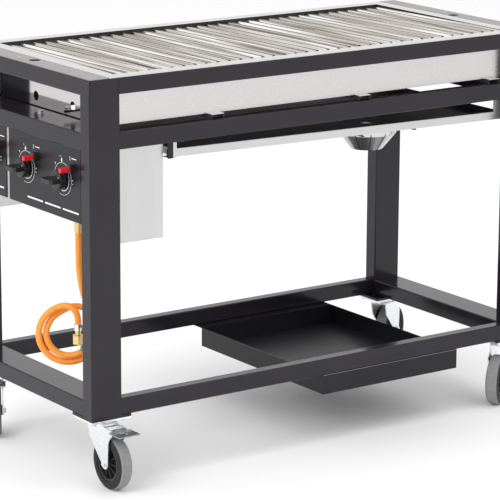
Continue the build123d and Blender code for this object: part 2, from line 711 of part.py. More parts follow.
def fork(base, braked):
    """A pressed fork under its swivel crown, with the axle bolt; a braked one has longer arms."""
    axle = base.from_local_coords(Vector(caster_trail, 0, wheel_radius))
    side_axis = base.y_dir
    with BuildPart(base) as piece:
        crown = base.from_local_coords(Vector(0, 0, z_crown))
        rod(crown, base.from_local_coords(Vector(0, 0, fork_top)), 36.0)
        block((-26, -fork_inside - fork_sheet, z_crown - 3), (40, fork_inside + fork_sheet, z_crown + 1))
        arm = 72.0 if braked else 42.0
        for side in (-1, 1):
            offset = side * fork_inside if side > 0 else side * fork_inside - fork_sheet
            start = base.from_local_coords(Vector(0, offset, 0))
            with BuildSketch(Plane(origin=start, x_dir=base.x_dir, z_dir=-side_axis)) as cheek:
                with BuildLine():
                    Polyline(
                        (-28, z_crown),
                        (arm, z_crown),
                        (arm, z_crown - 16),
                        (caster_trail + 16, z_crown - 32),
                        (caster_trail + 13, wheel_radius),
                        (caster_trail - 13, wheel_radius - 2),
                        (-20, z_crown - 34),
                        close=True,
                    )
                make_face()
                with Locations((caster_trail, wheel_radius)):
                    Circle(13.0)
                    Circle(4.1, mode=Mode.SUBTRACT)
            extrude(cheek.sketch, amount=-fork_sheet)
        rod(crown, base.from_local_coords(Vector(0, 0, fork_top + 1)), 8.05, mode=Mode.SUBTRACT)
        below = base.from_local_coords(Vector(0, 0, z_crown - 8))
        rod(below, crown, 14.0, mode=Mode.SUBTRACT)
        cheek_out = fork_inside + fork_sheet
        ends = [(axle + side_axis * reach) for reach in (-cheek_out, cheek_out)]
        heads = [(axle + side_axis * reach) for reach in (-cheek_out - 5, cheek_out + 6)]
        near = [(axle + side_axis * reach) for reach in (-cheek_out - 0.1, cheek_out + 0.1)]
        rod(heads[0], heads[1], 4.0)
        hexagon(near[0], heads[0], 13.0)
        hexagon(near[1], heads[1], 13.0)
        if braked:
            pivot = base.from_local_coords(Vector(pedal_pivot, 0, z_pedal))
            pin = [(pivot + side_axis * reach) for reach in (-cheek_out, cheek_out)]
            rod(pin[0], pin[1], 3.0)
    return piece


def wheel_section(base):
    """A plane through the axle: across is the radius, and up is along the axle."""
    centre = base.from_local_coords(Vector(caster_trail, 0, wheel_radius))
    return Plane(origin=centre, x_dir=base.x_dir, z_dir=(0, 0, 1)), Axis(centre, base.y_dir)


def tyre(base):
    """A solid rubber ring with a rounded tread."""
    plane, axle = wheel_section(base)
    with BuildPart() as piece:
        with BuildSketch(plane) as ring:
            with Locations(((rim_radius + wheel_radius) / 2, 0)):
                Rectangle(wheel_radius - rim_radius, tyre_width)
            fillet(ring.vertices().sort_by(Axis.X)[-2:], tyre_edge)
        revolve(ring.sketch, axis=axle)
    return piece


def hub(base):
    """A moulded hub: a boss on the axle, a thin web and a rim."""
    plane, axle = wheel_section(base)
    with BuildPart() as piece:
        with BuildSketch(plane) as half:
            with BuildLine():
                Polyline(
                    (4.05, -18.7),
                    (12, -18.7),
                    (13, -6),
                    (36, -6),
                    (37, -14),
                    (rim_radius, -14),
                    (rim_radius, 14),
                    (37, 14),
                    (36, 6),
                    (13, 6),
                    (12, 18.7),
                    (4.05, 18.7),
                    close=True,
                )
            make_face()
        revolve(half.sketch, axis=axle)
    return piece


def brake_pedal(base):
    """A sheet pedal with a square hole, hinged on a pin between the fork's arms."""
    half = fork_inside - 0.6
    with BuildPart(base) as piece:
        block((pedal_pivot - 2, -half, z_pedal + 3.5), (pedal_reach, half, z_pedal + 6.5))
        block((arm_clear, -pedal_half, z_pedal + 3.5), (pedal_reach, pedal_half, z_pedal + 6.5))
        block((pedal_pivot + 26, -9, z_pedal), (pedal_pivot + 44, 9, z_pedal + 8), mode=Mode.SUBTRACT)
        pivot = base.from_local_coords(Vector(pedal_pivot, 0, z_pedal))
        for side in (-1, 1):
            ends = [(pivot + base.y_dir * reach) for reach in (side * 8.0, side * half)]
            rod(ends[0], ends[1], 6.0)
            rod(ends[0], ends[1], 3.05, mode=Mode.SUBTRACT)
    return piece


right_front_trail = (math.cos(right_front_heading), math.sin(right_front_heading), 0)
left_back_trail = (math.cos(left_back_heading), math.sin(left_back_heading), 0)
casters = (
    ("front_left", foot_x[0], foot_y[0], (0, -1, 0), True),
    ("back_left", foot_x[0], foot_y[1], left_back_trail, True),
    ("front_right", foot_x[1], foot_y[0], right_front_trail, False),
    ("back_right", foot_x[1], foot_y[1], (turn_x, turn_y, 0), False),
)
for corner, x, y, trail, braked in casters:
    swivel = Plane(origin=(x, y, 0), x_dir=trail, z_dir=(0, 0, 1))
    save(fork(swivel, braked), f"fork_{corner}")
    save(tyre(swivel), f"tyre_{corner}")
    save(hub(swivel), f"hub_{corner}")
    if braked:
        save(brake_pedal(swivel), f"pedal_{corner}")
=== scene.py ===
import json
import math

import bmesh
import bpy
from mathutils import Matrix, Vector


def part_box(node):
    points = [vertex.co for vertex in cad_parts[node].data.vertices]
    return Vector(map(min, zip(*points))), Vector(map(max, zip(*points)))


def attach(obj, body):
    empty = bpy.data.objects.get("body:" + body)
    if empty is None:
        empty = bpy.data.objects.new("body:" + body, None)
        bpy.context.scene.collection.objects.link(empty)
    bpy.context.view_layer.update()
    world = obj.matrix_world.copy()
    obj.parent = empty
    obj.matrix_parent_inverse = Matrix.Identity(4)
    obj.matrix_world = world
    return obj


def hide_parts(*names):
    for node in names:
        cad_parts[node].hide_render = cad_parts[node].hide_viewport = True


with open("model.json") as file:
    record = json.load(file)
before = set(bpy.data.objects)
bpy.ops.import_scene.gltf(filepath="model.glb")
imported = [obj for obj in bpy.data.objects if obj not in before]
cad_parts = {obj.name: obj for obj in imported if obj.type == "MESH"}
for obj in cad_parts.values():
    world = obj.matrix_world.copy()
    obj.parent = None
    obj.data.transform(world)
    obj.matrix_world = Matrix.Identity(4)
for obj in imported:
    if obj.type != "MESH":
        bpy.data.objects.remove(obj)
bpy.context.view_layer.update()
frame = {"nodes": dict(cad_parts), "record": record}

# A mobile gas charbroiler. Metres, in the row frame: +X along the long front, +Y from front to
# back, +Z up from the floor. Places are measured from the CAD nodes' boxes.

nodes = frame["nodes"]
scene = bpy.context.scene


def edges(name):
    """A CAD node's lowest and highest corners at rest."""
    low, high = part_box(name)
    return Vector(low), Vector(high)


frame_low, frame_high = edges("top_frame")
x_left, y_front = frame_low.x, frame_low.y
x_right, y_back = frame_high.x, frame_high.y


# ======================================================================== camera
def add_camera():
    """The photograph's viewpoint: a long lens, from the left end of the front, a little above."""
    yaw, pitch, roll = (math.radians(angle) for angle in (35.103, 13.726, 0.285))
    place = Vector((x_left - 3.0422, y_front - 4.9451, 1.9841))
    level = math.cos(pitch)
    forward = Vector((math.sin(yaw) * level, math.cos(yaw) * level, -math.sin(pitch)))
    right = Vector((math.cos(yaw), -math.sin(yaw), 0))
    up = right.cross(forward)
    across = right * math.cos(roll) + up * math.sin(roll)
    upward = up * math.cos(roll) - right * math.sin(roll)
    data = bpy.data.cameras.new("camera")
    data.sensor_width = 36.0
    data.lens = 193.1
    data.clip_start = 0.1
    data.clip_end = 200.0
    camera = bpy.data.objects.new("camera", data)
    scene.collection.objects.link(camera)
    turn = Matrix((across, upward, -forward)).transposed()
    camera.matrix_world = Matrix.Translation(place) @ turn.to_4x4()
    scene.camera = camera


add_camera()


# ======================================================================== materials
class Finish:
    """A Principled material under construction, with helpers for procedural variation.

    Patterns are made from object coordinates, which are row-frame metres at rest.
    """

    # Most of a noise pattern's values lie between these two.
    noise_span = (0.3, 0.7)

    def __init__(self, name, colour, roughness, metallic=0.0, **sockets):
        self.material = bpy.data.materials.new(name)
        self.material.use_nodes = True
        self.tree = self.material.node_tree
        self.shader = self.tree.nodes["Principled BSDF"]
        self.shader.inputs["Base Color"].default_value = (*colour, 1.0)
        self.shader.inputs["Roughness"].default_value = roughness
        self.shader.inputs["Metallic"].default_value = metallic
        for socket, value in sockets.items():
            self.shader.inputs[socket.replace("_", " ")].default_value = value
        self.material.diffuse_color = (*colour, 1.0)
        self.height = None

    def node(self, kind, **values):
        """A new node; values are its properties or, if it has none of that name, its inputs."""
        made = self.tree.nodes.new(kind)
        for key, value in values.items():
            if hasattr(made, key):
                setattr(made, key, value)
            else:
                made.inputs[key.replace("_", " ")].default_value = value
        return made

    def place(self, stretch=(1, 1, 1)):
        """Object coordinates, stretched along each axis."""
        coordinates = self.node("ShaderNodeTexCoord")
        mapping = self.node("ShaderNodeMapping")
        mapping.inputs["Scale"].default_value = stretch
        self.tree.links.new(coordinates.outputs["Object"], mapping.inputs["Vector"])
        return mapping.outputs["Vector"]

    def noise(self, scale, detail, stretch=(1, 1, 1)):
        """A noise pattern's value; scale is in features per metre."""
        made = self.node("ShaderNodeTexNoise", Scale=scale, Detail=detail)
        self.tree.links.new(self.place(stretch), made.inputs["Vector"])
        return made.outputs["Fac"]

    def colours(self, value, *stops):
        """The base colour follows a ramp over a value; each stop is a position and a colour."""
        made = self.node("ShaderNodeValToRGB")
        band = made.color_ramp
        while len(band.elements) < len(stops):
            band.elements.new(0.5)
        for element, (position, colour) in zip(band.elements, stops):
            element.position = position
            element.color = (*colour, 1.0)
        self.tree.links.new(value, made.inputs["Fac"])
        self.tree.links.new(made.outputs["Color"], self.shader.inputs["Base Color"])

    def polish(self, value, low, high):
        """The roughness follows a noise value, between two limits."""
        made = self.node("ShaderNodeMapRange")
        made.inputs["From Min"].default_value = self.noise_span[0]
        made.inputs["From Max"].default_value = self.noise_span[1]
        made.inputs["To Min"].default_value = low
        made.inputs["To Max"].default_value = high
        self.tree.links.new(value, made.inputs["Value"])
        self.tree.links.new(made.outputs["Result"], self.shader.inputs["Roughness"])

    def maths(self, operation, first, second=None):
        """Arithmetic on one or two values; the second may be a plain number."""
        made = self.node("ShaderNodeMath", operation=operation)
        self.tree.links.new(first, made.inputs[0])
        if isinstance(second, float):
            made.inputs[1].default_value = second
        elif second is not None:
            self.tree.links.new(second, made.inputs[1])
        return made.outputs["Value"]

    def parts_of(self, vector):
        """A vector's three parts."""
        split = self.node("ShaderNodeSeparateXYZ")
        self.tree.links.new(vector, split.inputs["Vector"])
        return list(split.outputs)

    def within(self, low, high):
        """1 between two corners in the row frame, and 0 outside them."""
        places = self.parts_of(self.place())
        inside = None
        for place, lowest, highest in zip(places, low, high):
            for operation, limit in (("GREATER_THAN", lowest), ("LESS_THAN", highest)):
                test = self.maths(operation, place, float(limit))
                inside = self.maths("MULTIPLY", inside, test) if inside else test
        return inside

    def facing(self, axis, sign):
        """1 where the surface faces one way along an axis, given by its number."""
        geometry = self.node("ShaderNodeNewGeometry")
        part = self.parts_of(geometry.outputs["Normal"])[axis]
        return self.maths("GREATER_THAN", self.maths("MULTIPLY", part, float(sign)), 0.5)

    def blended(self, socket, mask, value):
        """A socket turns to another value where a mask is 1."""
        wanted = self.shader.inputs[socket]
        coloured = not isinstance(value, float)
        made = self.node("ShaderNodeMix", data_type="RGBA" if coloured else "FLOAT")
        # The mix node keeps separate sockets for colours and for numbers.
        first, second, result = (6, 7, 2) if coloured else (2, 3, 0)
        if wanted.links:
            self.tree.links.new(wanted.links[0].from_socket, made.inputs[first])
        else:
            made.inputs[first].default_value = wanted.default_value
        made.inputs[second].default_value = (*value, 1.0) if coloured else value
        self.tree.links.new(mask, made.inputs[0])
        self.tree.links.new(made.outputs[result], wanted)

    def painted_shade(self, mask, colour=(0.012, 0.011, 0.010)):
        """Painted shade where a mask is 1: dark and dull."""
        self.blended("Base Color", mask, colour)
        self.blended("Metallic", mask, 0.0)
        self.blended("Roughness", mask, 0.6)

    def bump(self, value, strength, distance):
        """Fine relief, added to what is there."""
        made = self.node("ShaderNodeBump", Strength=strength, Distance=distance)
        self.tree.links.new(value, made.inputs["Height"])
        if self.height:
            self.tree.links.new(self.height, made.inputs["Normal"])
        self.height = made.outputs["Normal"]
        self.tree.links.new(self.height, self.shader.inputs["Normal"])


def powder_coat(name, colour, roughness, level=0.45):
    """Semi-gloss powder coat with fine orange peel."""
    made = Finish(name, colour, roughness, Specular_IOR_Level=level)
    lighter = tuple(c * 1.25 for c in colour)
    made.colours(made.noise(9, 4), (0.35, colour), (0.75, lighter))
    made.polish(made.noise(30, 5), roughness - 0.03, roughness + 0.04)
    made.bump(made.noise(520, 2), 0.06, 0.0003)
    return made.material


def brushed(name, colour, roughness, along, lines, mottle, relief=0.08):
    """Rolled or brushed metal, with its lines along one axis; the finish can be added to."""
    stretch = {"X": (0.03, 1, 1), "Z": (1, 1, 0.03)}[along]
    made = Finish(name, colour, roughness, 1.0)
    darker = tuple(c * (1 - mottle) for c in colour)
    made.colours(made.noise(14, 5, stretch), (0.3, darker), (0.7, colour))
    made.polish(made.noise(lines, 3, stretch), roughness - 0.05, roughness + 0.06)
    made.bump(made.noise(lines, 2, stretch), relief, 0.0002)
    return made


def speckled_steel():
    """Matt stainless sheet with a fine speckle, as on the end covers."""
    made = Finish("cover_steel", (0.52, 0.51, 0.50), 0.45, 1.0)
    made.colours(made.noise(700, 4), (0.36, (0.26, 0.255, 0.25)), (0.64, (0.42, 0.41, 0.40)))
    made.polish(made.noise(300, 3), 0.38, 0.55)
    made.bump(made.noise(900, 2), 0.25, 0.0003)
    return made.material


def firebox_steel():
    """Stainless sheet: satin in front, mirror-like at the ends, with painted shade inside the
    walls and on the support webs.
    """
    made = brushed("firebox_steel", (0.66, 0.64, 0.635), 0.26, "X", 2600, 0.02, 0.01)
    for sign in (-1, 1):
        made.blended("Roughness", made.facing(0, sign), 0.07)
    flange_top = edges("firebox")[1].z
    # Painted shade: the walls inside the firebox, under the grate, are coloured near-black where
    # shade falls.
    end_wall, side_wall, flange_skin = 0.0845, 0.0355, 0.0002
    inside = made.within(
        (x_left + end_wall, y_front + side_wall, 0),
        (x_right - end_wall, y_back - side_wall, flange_top - flange_skin),
    )
    made.painted_shade(inside)
    # Painted shade: the support webs under the firebox are coloured dark grey where they stand in
    # shadow.
    low, high = edges("firebox_supports")
    margin, web_skin = 0.001, 0.0015
    webs = made.within(
        (low.x - margin, y_front, low.z - margin),
        (high.x + margin, y_back, high.z - web_skin),
    )
    made.painted_shade(webs, (0.05, 0.05, 0.05))
    return made.material


def tray_steel():
    """Light sheet steel, with painted shade inside the drip tray."""
    made = brushed("galvanised", (0.62, 0.62, 0.62), 0.36, "Z", 500, 0.05)
    low, high = edges("drip_tray")
    wall, handle, z_under, z_over = 0.0017, 0.035, 0.70, 0.80
    place = made.within(
        (low.x + wall, low.y + wall, z_under),
        (high.x - handle, high.y - wall, z_over),
    )
    # Painted shade: the tray's inside, in shadow under the grate, is coloured near-black; its
    # underside keeps the bare steel.
    underside = made.maths("MULTIPLY", place, made.facing(2, -1))
    made.painted_shade(made.maths("SUBTRACT", place, underside), (0.022, 0.020, 0.018))
    hanger_start, hanger_end, z_rail = 0.23, 0.2465, 0.786
    hanger = made.within(
        (x_left + hanger_start, y_front, z_under),
        (x_left + hanger_end, y_back, z_rail),
    )
    made.blended("Base Color", hanger, (0.04, 0.04, 0.042))
    return made.material


def cup_steel():
    """Polished dish steel pressed into flat facets, with painted shade as dark lines at the
    creases between them.
    """
    made = brushed("polished_steel", (0.62, 0.62, 0.62), 0.26, "Z", 900, 0.03)
    facets, crease_shade_share, rim_depth = 12, 0.07, 0.008
    low, high = edges("fat_cup")
    across, along, up = made.parts_of(made.place())
    across = made.maths("SUBTRACT", across, (low.x + high.x) / 2)
    along = made.maths("SUBTRACT", along, (low.y + high.y) / 2)
    turns = made.maths("MULTIPLY", made.maths("ARCTAN2", along, across), facets / math.tau)
    # Painted shade: a thin dark line at each crease between facets, below the rim.
    line = made.maths("LESS_THAN", made.maths("FRACT", turns), crease_shade_share)
    cone = made.maths("LESS_THAN", up, high.z - rim_depth)
    made.blended("Base Color", made.maths("MULTIPLY", line, cone), (0.06, 0.06, 0.06))
    return made.material


def grate_steel():
    """Bright V-bars, streaked along their length, with painted shade deep in the V."""
    made = Finish("grate_steel", (0.72, 0.70, 0.66), 0.3, 1.0)
    made.colours(
        made.noise(170, 2, (1, 0.008, 1)),
        (0.28, (0.10, 0.09, 0.08)),
        (0.38, (0.42, 0.39, 0.34)),
        (0.52, (0.62, 0.59, 0.54)),
        (0.62, (0.94, 0.93, 0.92)),
    )
    made.polish(made.noise(200, 4, (1, 0.05, 1)), 0.16, 0.34)
    # Painted shade starts at one depth below the bars' tops, which fall a little towards the back.
    bar_fall, shade_depth = 0.0075, 0.0115
    low, high = edges("grate_left")
    along, up = made.parts_of(made.place())[1:]
    slope = bar_fall / (high.y - low.y)
    level = made.maths("ADD", up, made.maths("MULTIPLY", along, slope))
    deep = made.maths("LESS_THAN", level, high.z + low.y * slope - shade_depth)
    made.painted_shade(deep, (0.03, 0.028, 0.025))
    made.bump(made.noise(700, 3, (1, 0.04, 1)), 0.2, 0.0003)
    return made.material


def burner_steel():
    """Stainless tube, browned and blackened by heat in patches."""
    made = Finish("burner_steel", (0.20, 0.18, 0.16), 0.5, 0.8)
    made.colours(
        made.noise(22, 6),
        (0.30, (0.04, 0.035, 0.035)),
        (0.50, (0.12, 0.10, 0.08)),
        (0.70, (0.20, 0.19, 0.18)),
    )
    made.bump(made.noise(500, 2), 0.15, 0.0003)
    return made.material


def zinc(name, colour, roughness):
    """Bright zinc plate, with its soft crystalline patches."""
    made = Finish(name, colour, roughness, 1.0)
    cells = made.node("ShaderNodeTexVoronoi", Scale=260.0)
    made.tree.links.new(made.place(), cells.inputs["Vector"])
    darker = tuple(c * 0.95 for c in colour)
    made.colours(cells.outputs["Color"], (0.2, darker), (0.8, colour))
    made.polish(made.noise(90, 4), roughness - 0.07, roughness + 0.08)
    made.bump(made.noise(400, 3), 0.08, 0.0003)
    return made.material


def moulding(name, colour, roughness):
    """Moulded plastic or rubber with a fine grain."""
    made = Finish(name, colour, roughness)
    lighter = tuple(min(1.0, c * 1.25 + 0.004) for c in colour)
    made.colours(made.noise(40, 4), (0.35, colour), (0.75, lighter))
    made.polish(made.noise(120, 3), roughness - 0.05, roughness + 0.06)
    made.bump(made.noise(1400, 2), 0.12, 0.0003)
    return made.material


def hose_rubber():
    """Smooth orange rubber, a little darker in patches."""
    made = Finish("hose_rubber", (0.90, 0.27, 0.04), 0.38, Specular_IOR_Level=0.35)
    made.colours(made.noise(45, 4), (0.3, (0.95, 0.31, 0.032)), (0.7, (1.0, 0.36, 0.05)))
    made.polish(made.noise(160, 3), 0.32, 0.46)
    made.bump(made.noise(800, 2), 0.10, 0.0003)
    return made.material


def tyre_rubber(name, colour):
    """Dark grey rubber with a fine grain."""
    made = Finish(name, colour, 0.7)
    lighter = tuple(c * 1.2 for c in colour)
    made.colours(made.noise(160, 3), (0.35, colour), (0.7, lighter))
    made.polish(made.noise(200, 4), 0.6, 0.8)
    made.bump(made.noise(1100, 3), 0.3, 0.0004)
    return made.material


finishes = {
    "frame_paint": powder_coat("frame_paint", (0.0140, 0.0120, 0.0170), 0.17, 0.34),
    "black_paint": powder_coat("black_paint", (0.0075, 0.0065, 0.0090), 0.34, 0.32),
    "cover_steel": speckled_steel(),
    "firebox_steel": firebox_steel(),
    "grate_steel": grate_steel(),
    "burner_steel": burner_steel(),
    "galvanised": tray_steel(),
    "polished_steel": cup_steel(),
    "zinc": zinc("zinc", (0.86, 0.88, 0.90), 0.30),
    "dark_zinc": zinc("dark_zinc", (0.34, 0.34, 0.35), 0.30),
    "plated_screws": zinc("plated_screws", (0.70, 0.70, 0.72), 0.25),
    "brass": brushed("brass", (0.80, 0.58, 0.26), 0.28, "Z", 600, 0.10).material,
    "black_plastic": moulding("black_plastic", (0.010, 0.010, 0.011), 0.30),
    "hub_plastic": moulding("hub_plastic", (0.012, 0.012, 0.013), 0.5),
    "red_plastic": moulding("red_plastic", (0.62, 0.010, 0.014), 0.25),
    "hose_rubber": hose_rubber(),
    "tyre_rubber": tyre_rubber("tyre_rubber", (0.011, 0.0105, 0.012)),
    "ceramic": moulding("ceramic", (0.72, 0.69, 0.62), 0.55),
    "tie_plastic": moulding("tie_plastic", (0.22, 0.22, 0.23), 0.45),
}
dial_ink = moulding("dial_ink", (0.82, 0.82, 0.82), 0.5)
tread_rubber = tyre_rubber("tread_rubber", (0.22, 0.22, 0.225))
# A painted highlight: lighter grey for the bottle tray's top edge where it catches the light.
painted_edge_highlight = powder_coat("painted_edge_highlight", (0.20, 0.19, 0.20), 0.3)

for part in frame["record"]["subparts"]:
    mesh = nodes[part["node"]].data
    mesh.materials.clear()
    mesh.materials.append(finishes[part["material_slot"]])


# ======================================================================== pieces
def piece(name, build, slot, body="frame", material=None):
    """A new mesh piece from a function that fills a bmesh, riding on a CAD body.

    Its material is its slot's, unless one is given; slot is None for what has no slot.
    """
    mesh = bpy.data.meshes.new(name)
    shape = bmesh.new()
    build(shape)
    bmesh.ops.recalc_face_normals(shape, faces=shape.faces)
    shape.to_mesh(mesh)
    shape.free()
    made = bpy.data.objects.new(name, mesh)
    scene.collection.objects.link(made)
    mesh.materials.append(material or finishes[slot])
    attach(made, body)
    return made


def smooth(made, angle):
    """Smooth shading on a new piece, with its edges sharper than an angle kept."""
    made.data.shade_smooth()
    made.data.set_sharp_from_angle(angle=angle)


def frame_of(direction):
    """Two directions square to a given one."""
    forward = direction.normalized()
    helper = Vector((0, 0, 1)) if abs(forward.z) < 0.9 else Vector((1, 0, 0))
    side = forward.cross(helper).normalized()
    return side, forward.cross(side).normalized()


def turned(shape, start, direction, profile, steps):
    """A sleeve about an axis: a closed profile of (distance along, radius) pairs, turned."""
    side, other = frame_of(direction)
    forward = direction.normalized()
    rings = []
    for along, radius in profile:
        ring = []
        for step in range(steps):
            angle = math.tau * step / steps
            out = side * math.cos(angle) + other * math.sin(angle)
            ring.append(shape.verts.new(start + forward * along + out * radius))
        rings.append(ring)
    for first, second in zip(rings, rings[1:] + rings[:1]):
        for step in range(steps):
            following = (step + 1) % steps
            corners = (first[step], first[following], second[following], second[step])
            shape.faces.new(corners)


def cuboid(shape, low, high, ease=0.2):
    """A box between two corners; its edges are eased by a share of its least size."""
    made = bmesh.ops.create_cube(shape, size=1.0)
    size = Vector(high) - Vector(low)
    middle = (Vector(high) + Vector(low)) / 2
    for vertex in made["verts"]:
        vertex.co = middle + Vector(c * s for c, s in zip(vertex.co, size))
    if ease:
        rims = dict.fromkeys(edge for vertex in made["verts"] for edge in vertex.link_edges)
        bmesh.ops.bevel(
            shape,
            geom=list(rims),
            offset=min(size) * ease,
            segments=2,
            affect="EDGES",
            profile=0.5,
        )


def prism(shape, outline, offset):
    """A prism from a flat outline and a sideways offset."""
    first = [shape.verts.new(point) for point in outline]
    second = [shape.verts.new(Vector(point) + Vector(offset)) for point in outline]
    shape.faces.new(first)
    shape.faces.new(second[::-1])
    for step in range(len(outline)):
        following = (step + 1) % len(outline)
        shape.faces.new((first[step], first[following], second[following], second[step]))


def ribbon(shape, pairs, offset):
    """A thin raised strip between two edge lines, given as pairs of points."""
    offset = Vector(offset)
    rows = []
    for first, second in pairs:
        corners = (first, second, second + offset, first + offset)
        rows.append([shape.verts.new(corner) for corner in corners])
    for row, following in zip(rows, rows[1:]):
        for step in range(4):
            beside = (step + 1) % 4
            shape.faces.new((row[step], row[beside], following[beside], following[step]))
    shape.faces.new(rows[0])
    shape.faces.new(rows[-1][::-1])


# ======================================================================== frame welds
def add_welds():
    """Ground-flat weld fillets that close the rounded tube corners where rails meet posts."""
    post_width, post_depth = 0.080, 0.040
    corner = 0.003  # the tubes' corner radius, which the fillets fill
    lap = 0.0004  # how far a fillet runs into the tube behind it
    shy = 0.00003  # how far it stays under the tubes' flat faces
    levels = []
    for rails in ("middle_frame", "bottom_frame"):
        low, high = edges(rails)
        levels.append((low.z + corner, high.z - corner))
    z_top = edges("frame_posts")[1].z

    def fillet(shape, *spans):
        cuboid(shape, *zip(*(sorted(span) for span in spans)), ease=0.0)

    def build(shape):
        for outer_x, inward_x in ((x_left, 1), (x_right, -1)):
            inner_x = outer_x + inward_x * post_width
            faces = (
                (outer_x + inward_x * shy, outer_x + inward_x * corner),
                (inner_x - inward_x * corner, inner_x - inward_x * shy),
            )
            for outer_y, inward_y in ((y_front, 1), (y_back, -1)):
                inner_y = outer_y + inward_y * post_depth
                end_rail = (inner_y - inward_y * corner, inner_y + inward_y * lap)
                long_rail = (inner_x - inward_x * corner, inner_x + inward_x * lap)
                outside = (outer_y + inward_y * shy, outer_y + inward_y * corner)
                post_side = (outer_y + inward_y * corner, inner_y - inward_y * corner)
                for level in levels:
                    for face in faces:
                        fillet(shape, face, end_rail, level)
                    fillet(shape, long_rail, outside, level)
                for face in faces:
                    fillet(shape, face, post_side, (z_top - lap, z_top + corner))

    piece("frame_welds", build, "frame_paint")


def add_tray_edge_highlight():
    """A painted highlight along the folded top edge of the bottle tray: a thin lighter strip where
    the edge catches the light.
    """
    low, high = edges("bottle_tray")

    def build(shape):
        start = (low.x + 0.0005, y_front - 0.0004, high.z - 0.0012)
        cuboid(shape, start, (high.x - 0.0005, y_front + 0.0006, high.z - 0.0001))

    piece("bottle_tray_edge", build, "black_paint", material=painted_edge_highlight)


add_welds()
add_tray_edge_highlight()


# ======================================================================== dials
knob_y = [y_front + offset for offset in (0.119, 0.279, 0.439)]
z_knob = 0.707
panel_face = x_left + 0.002
knob_face = x_left - 0.019
raised = (-0.0002, 0, 0)


def on_dial(y, degrees, radius):
    """A point on the panel, clockwise from the top as seen facing it."""
    angle = math.radians(degrees)
    return Vector((panel_face, y - radius * math.sin(angle), z_knob + radius * math.cos(angle)))


def arc(shape, y, radius, first, last, start_width, end_width):
    """A ring mark between two angles, its width changing evenly."""
    steps = 48
    pairs = []
    for step in range(steps + 1):
        share = step / steps
        degrees = first + (last - first) * share
        half = (start_width + (end_width - start_width) * share) / 2
        pairs.append((on_dial(y, degrees, radius - half), on_dial(y, degrees, radius + half)))
    ribbon(shape, pairs, raised)


def dot(shape, middle, radius):
    """A round mark on the panel."""
    sides = 16
    outline = []
    for step in range(sides):
        angle = math.tau * step / sides
        outline.append(middle + Vector((0, math.cos(angle), math.sin(angle))) * radius)
    prism(shape, outline, raised)


def bar(shape, y, z, half_y, half_z):
    """A straight mark on the panel."""
    corners = ((-1, -1), (1, -1), (1, 1), (-1, 1))
    outline = [Vector((panel_face, y + a * half_y, z + b * half_z)) for a, b in corners]
    prism(shape, outline, raised)


def drop(shape, middle):
    """A plain drop: round below and pointed above."""
    side = [(2.0, -4.4), (3.0, -2.4), (2.4, 0.0), (1.0, 2.6)]  # millimetres
    mirrored = [(-across, up) for across, up in side]
    outline = [(0.0, -5.0)] + mirrored + [(0.0, 6.0)] + side[::-1]
    prism(shape, [middle + Vector((0, -across, up)) / 1000 for across, up in outline], raised)


def add_dials(name, places, bars):
    """The white marks on one panel.

    Each knob has two rings, a tick, a drop and three dots, and each igniter a tick and a dash.
    The bars are below them. Angles are in degrees, clockwise from a knob's top.
    """
    z_igniter_tick, z_igniter_dash, z_bar = z_knob + 0.0525, z_knob + 0.0535, 0.638

    def build(shape):
        for y in places:
            arc(shape, y, 0.037, -75, 200, 0.0008, 0.0008)
            arc(shape, y, 0.027, 60, 190, 0.0005, 0.0022)
            arc(shape, y, 0.044, -46, -44, 0.0060, 0.0060)
            drop(shape, on_dial(y, -5, 0.044))
            dot(shape, on_dial(y, -12, 0.052), 0.0012)
            dot(shape, on_dial(y, 86, 0.043), 0.0013)
            dot(shape, on_dial(y, 97, 0.043), 0.0013)
            bar(shape, y - 0.032, z_igniter_tick, 0.0007, 0.005)
            bar(shape, y - 0.049, z_igniter_dash, 0.010, 0.0009)
        for low, high in bars:
            bar(shape, y_front + (low + high) / 2, z_bar, (high - low) / 2, 0.0018)

    piece(name, build, None, material=dial_ink)


def add_knob_dot(number, y):
    """The white dot on a knob's face, which turns with it."""
    middle = on_dial(y, 62, 0.0165)
    middle.x = knob_face

    def build(shape):
        dot(shape, middle, 0.0014)

    piece(f"knob_dot_{number}", build, None, f"knob_{number}", dial_ink)


add_dials("dial_marks_wide", knob_y[:2], ((0.208, 0.276), (0.130, 0.198), (0.052, 0.120)))
add_dials("dial_marks_narrow", knob_y[2:], ((0.385, 0.455),))
for number, y in enumerate(knob_y, start=1):
    add_knob_dot(number, y)


# ======================================================================== wheels
def tyre_profile():
    """A tyre's section: a bore, two ring grooves and a round shoulder a side, and a flat tread.

    Each pair is a distance from the wheel's middle plane and a radius. One half is mirrored.
    """
    half_width, bore, shoulder, shoulder_middle = 0.016, 0.044, 0.007, 0.0555
    tread = shoulder_middle + shoulder
    inner_groove = [(half_width, 0.0470), (0.0155, 0.0476), (0.0155, 0.0482), (half_width, 0.0488)]
    outer_groove = [(half_width, 0.0528), (0.0156, 0.0533), (half_width, 0.0538)]
    half = [(half_width, bore)] + inner_groove + outer_groove
    steps = 8
    for step in range(steps + 1):
        angle = math.radians(90 * step / steps)
        along = half_width - shoulder + shoulder * math.cos(angle)
        half.append((along, shoulder_middle + shoulder * math.sin(angle)))
    half += [(0.0072, tread), (0.0069, tread - 0.0005), (0.0066, tread)]
    return [(-along, radius) for along, radius in half] + half[::-1]


def add_tyre(corner, middle, axle):
    """A tyre with a paler tread, in place of the plain CAD one."""
    tread_start = 0.0607

    def build(shape):
        turned(shape, middle, axle, tyre_profile(), 96)

    made = piece(f"tyre_{corner}_rubber", build, "tyre_rubber", f"wheel_{corner}")
    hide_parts(f"tyre_{corner}")
    made.data.materials.append(tread_rubber)
    for face in made.data.polygons:
        away = face.center - middle
        if (away - axle * away.dot(axle)).length > tread_start:
            face.material_index = 1
    smooth(made, 0.5)


